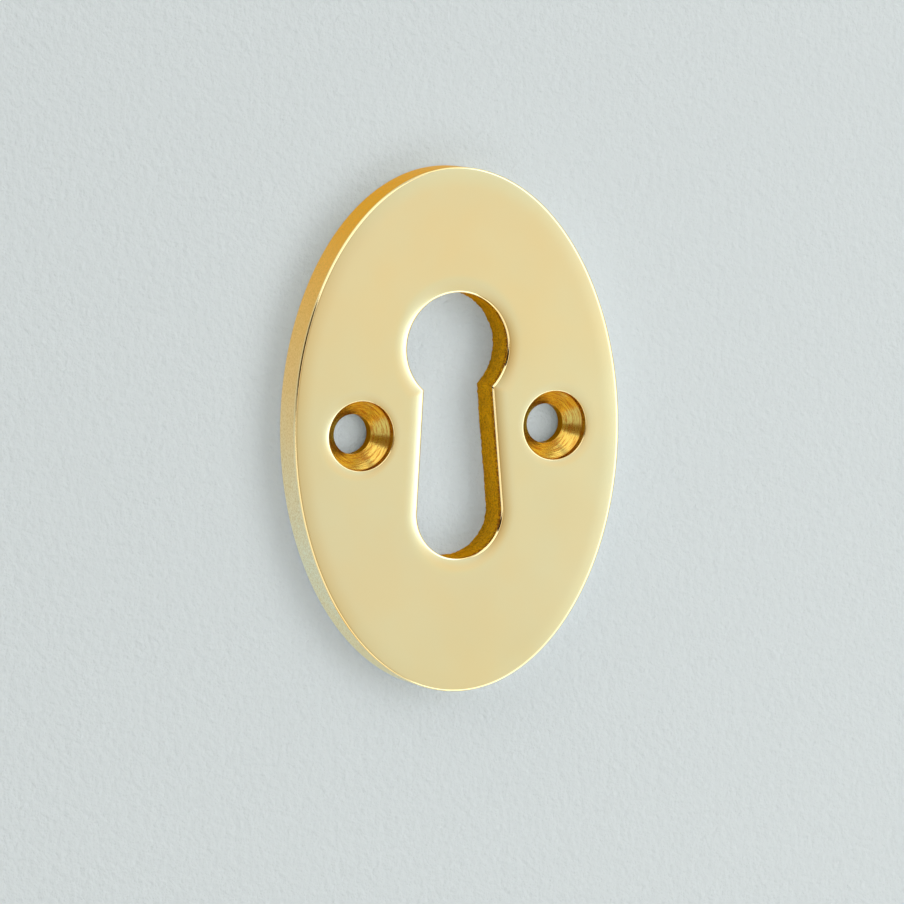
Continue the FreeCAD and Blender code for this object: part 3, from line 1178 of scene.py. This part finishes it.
def make_glowing(name):
    """A material that only glows, and its emission node."""
    material = bpy.data.materials.new(name)
    material.use_nodes = True
    tree = material.node_tree
    tree.nodes.remove(tree.nodes["Principled BSDF"])
    glow = tree.nodes.new("ShaderNodeEmission")
    tree.links.new(glow.outputs["Emission"], tree.nodes["Material Output"].inputs["Surface"])
    return material, tree, glow


def make_sheet_shades():
    """The bent sheet's shades: across by the angle round the plate, up by the height."""
    material, tree, glow = make_glowing("bent_sheet")
    split = tree.nodes.new("ShaderNodeSeparateXYZ")
    tree.links.new(tree.nodes.new("ShaderNodeTexCoord").outputs["Object"], split.inputs["Vector"])
    ahead = add_math(tree, "MULTIPLY", split.outputs["Y"], -1.0)
    angle = add_math(tree, "ARCTAN2", split.outputs["X"], ahead)
    round_plate = add_shades(
        tree, add_math(tree, "MULTIPLY", angle, math.degrees(1)), SHEET_ACROSS
    )
    up = add_shades(tree, add_math(tree, "MULTIPLY", split.outputs["Z"], 1 / MM), SHEET_UP)
    product = tree.nodes.new("ShaderNodeMix")
    product.data_type = "RGBA"
    product.blend_type = "MULTIPLY"
    product.inputs["Factor"].default_value = 1.0
    tree.links.new(round_plate, product.inputs["A"])
    tree.links.new(up, product.inputs["B"])
    tree.links.new(product.outputs["Result"], glow.inputs["Color"])
    return material


def show_to_metal_only(sheet):
    """Only mirrored rays meet the sheet: it lights nothing and throws no shadow."""
    sheet.visible_camera = False
    sheet.visible_diffuse = False
    sheet.visible_shadow = False


def draw_bent_sheet():
    """A point spun round the plate, then pulled up."""
    sheet = start_piece("bent_sheet")
    start = towards(SHEET_RIGHT, 0) * SHEET_RADIUS
    start.z = -SHEET_RADIUS
    start_point(start)
    turn = math.radians(SHEET_RIGHT - SHEET_LEFT)
    bpy.ops.mesh.spin(steps=SHEET_STEPS, angle=turn, center=(0, 0, start.z), axis=(0, 0, 1))
    bpy.ops.mesh.select_all(action="SELECT")
    bpy.ops.mesh.extrude_edges_move(TRANSFORM_OT_translate={"value": (0, 0, 2 * SHEET_RADIUS)})
    bpy.ops.object.mode_set(mode="OBJECT")
    sheet.data.materials.append(make_sheet_shades())
    show_to_metal_only(sheet)
    print("bent sheet:", [round(side, 2) for side in sheet.dimensions])


def add_card(name, turn, lift, distance, wide, tall, shade, roll=0):
    """A flat card of one shade that faces the plate, rolled by some degrees to the right."""
    material, _, glow = make_glowing(name)
    glow.inputs["Color"].default_value = (*shade, 1)
    away = towards(turn, lift)
    bpy.ops.mesh.primitive_plane_add(size=1, location=away * distance)
    card = bpy.context.object
    card.name = name
    face_plate(card, away)
    card.rotation_euler.rotate_axis("Z", math.radians(roll))
    card.scale.x = across(distance, wide)
    card.scale.y = across(distance, tall)
    card.data.materials.append(material)
    show_to_metal_only(card)
    print(f"{name}: shade {shade}")
    return card


draw_bent_sheet()
# name, turn, lift, distance, wide, tall, shade, roll
add_card("camera_card", -29, 7, 0.3, 44, 18, (0.025, 0.01, 0.001), -21)
add_card("stand_card", -66, 12, 0.28, 26, 28, (0.25, 0.14, 0.012))
add_card("upper_white_card", -4, 24, 0.4, 34, 34, (1.6, 1.5, 1.4))
add_card("upper_left_card", -60, 48, 0.4, 50, 40, (1.45, 1.28, 1.0))
add_card("overhead_card", 75, 68, 0.4, 60, 36, (1.6, 1.5, 1.25))
add_card("low_card", 36, -42, 0.5, 36, 24, (2.3, 2.3, 2.3))
add_card("low_left_card", -61, -60, 0.4, 44, 34, (0.84, 0.54, 0.12))
dark_card = add_card("dark_card", -52, 5, 0.7, 66, 36, (0.05, 0.05, 0.05))
dark_card.visible_glossy = False
dark_card.visible_diffuse = True
dark_card.visible_shadow = True

# %% The air around
AMBIENT = 0.755


def make_surroundings():
    """An even, pale room."""
    world = bpy.data.worlds.new("pale_room")
    world.use_nodes = True
    world.node_tree.nodes["Background"].inputs["Color"].default_value = (1.0, 1.0, 1.0, 1)
    world.node_tree.nodes["Background"].inputs["Strength"].default_value = AMBIENT
    bpy.context.scene.world = world


make_surroundings()
bpy.context.scene.view_settings.view_transform = "Standard"
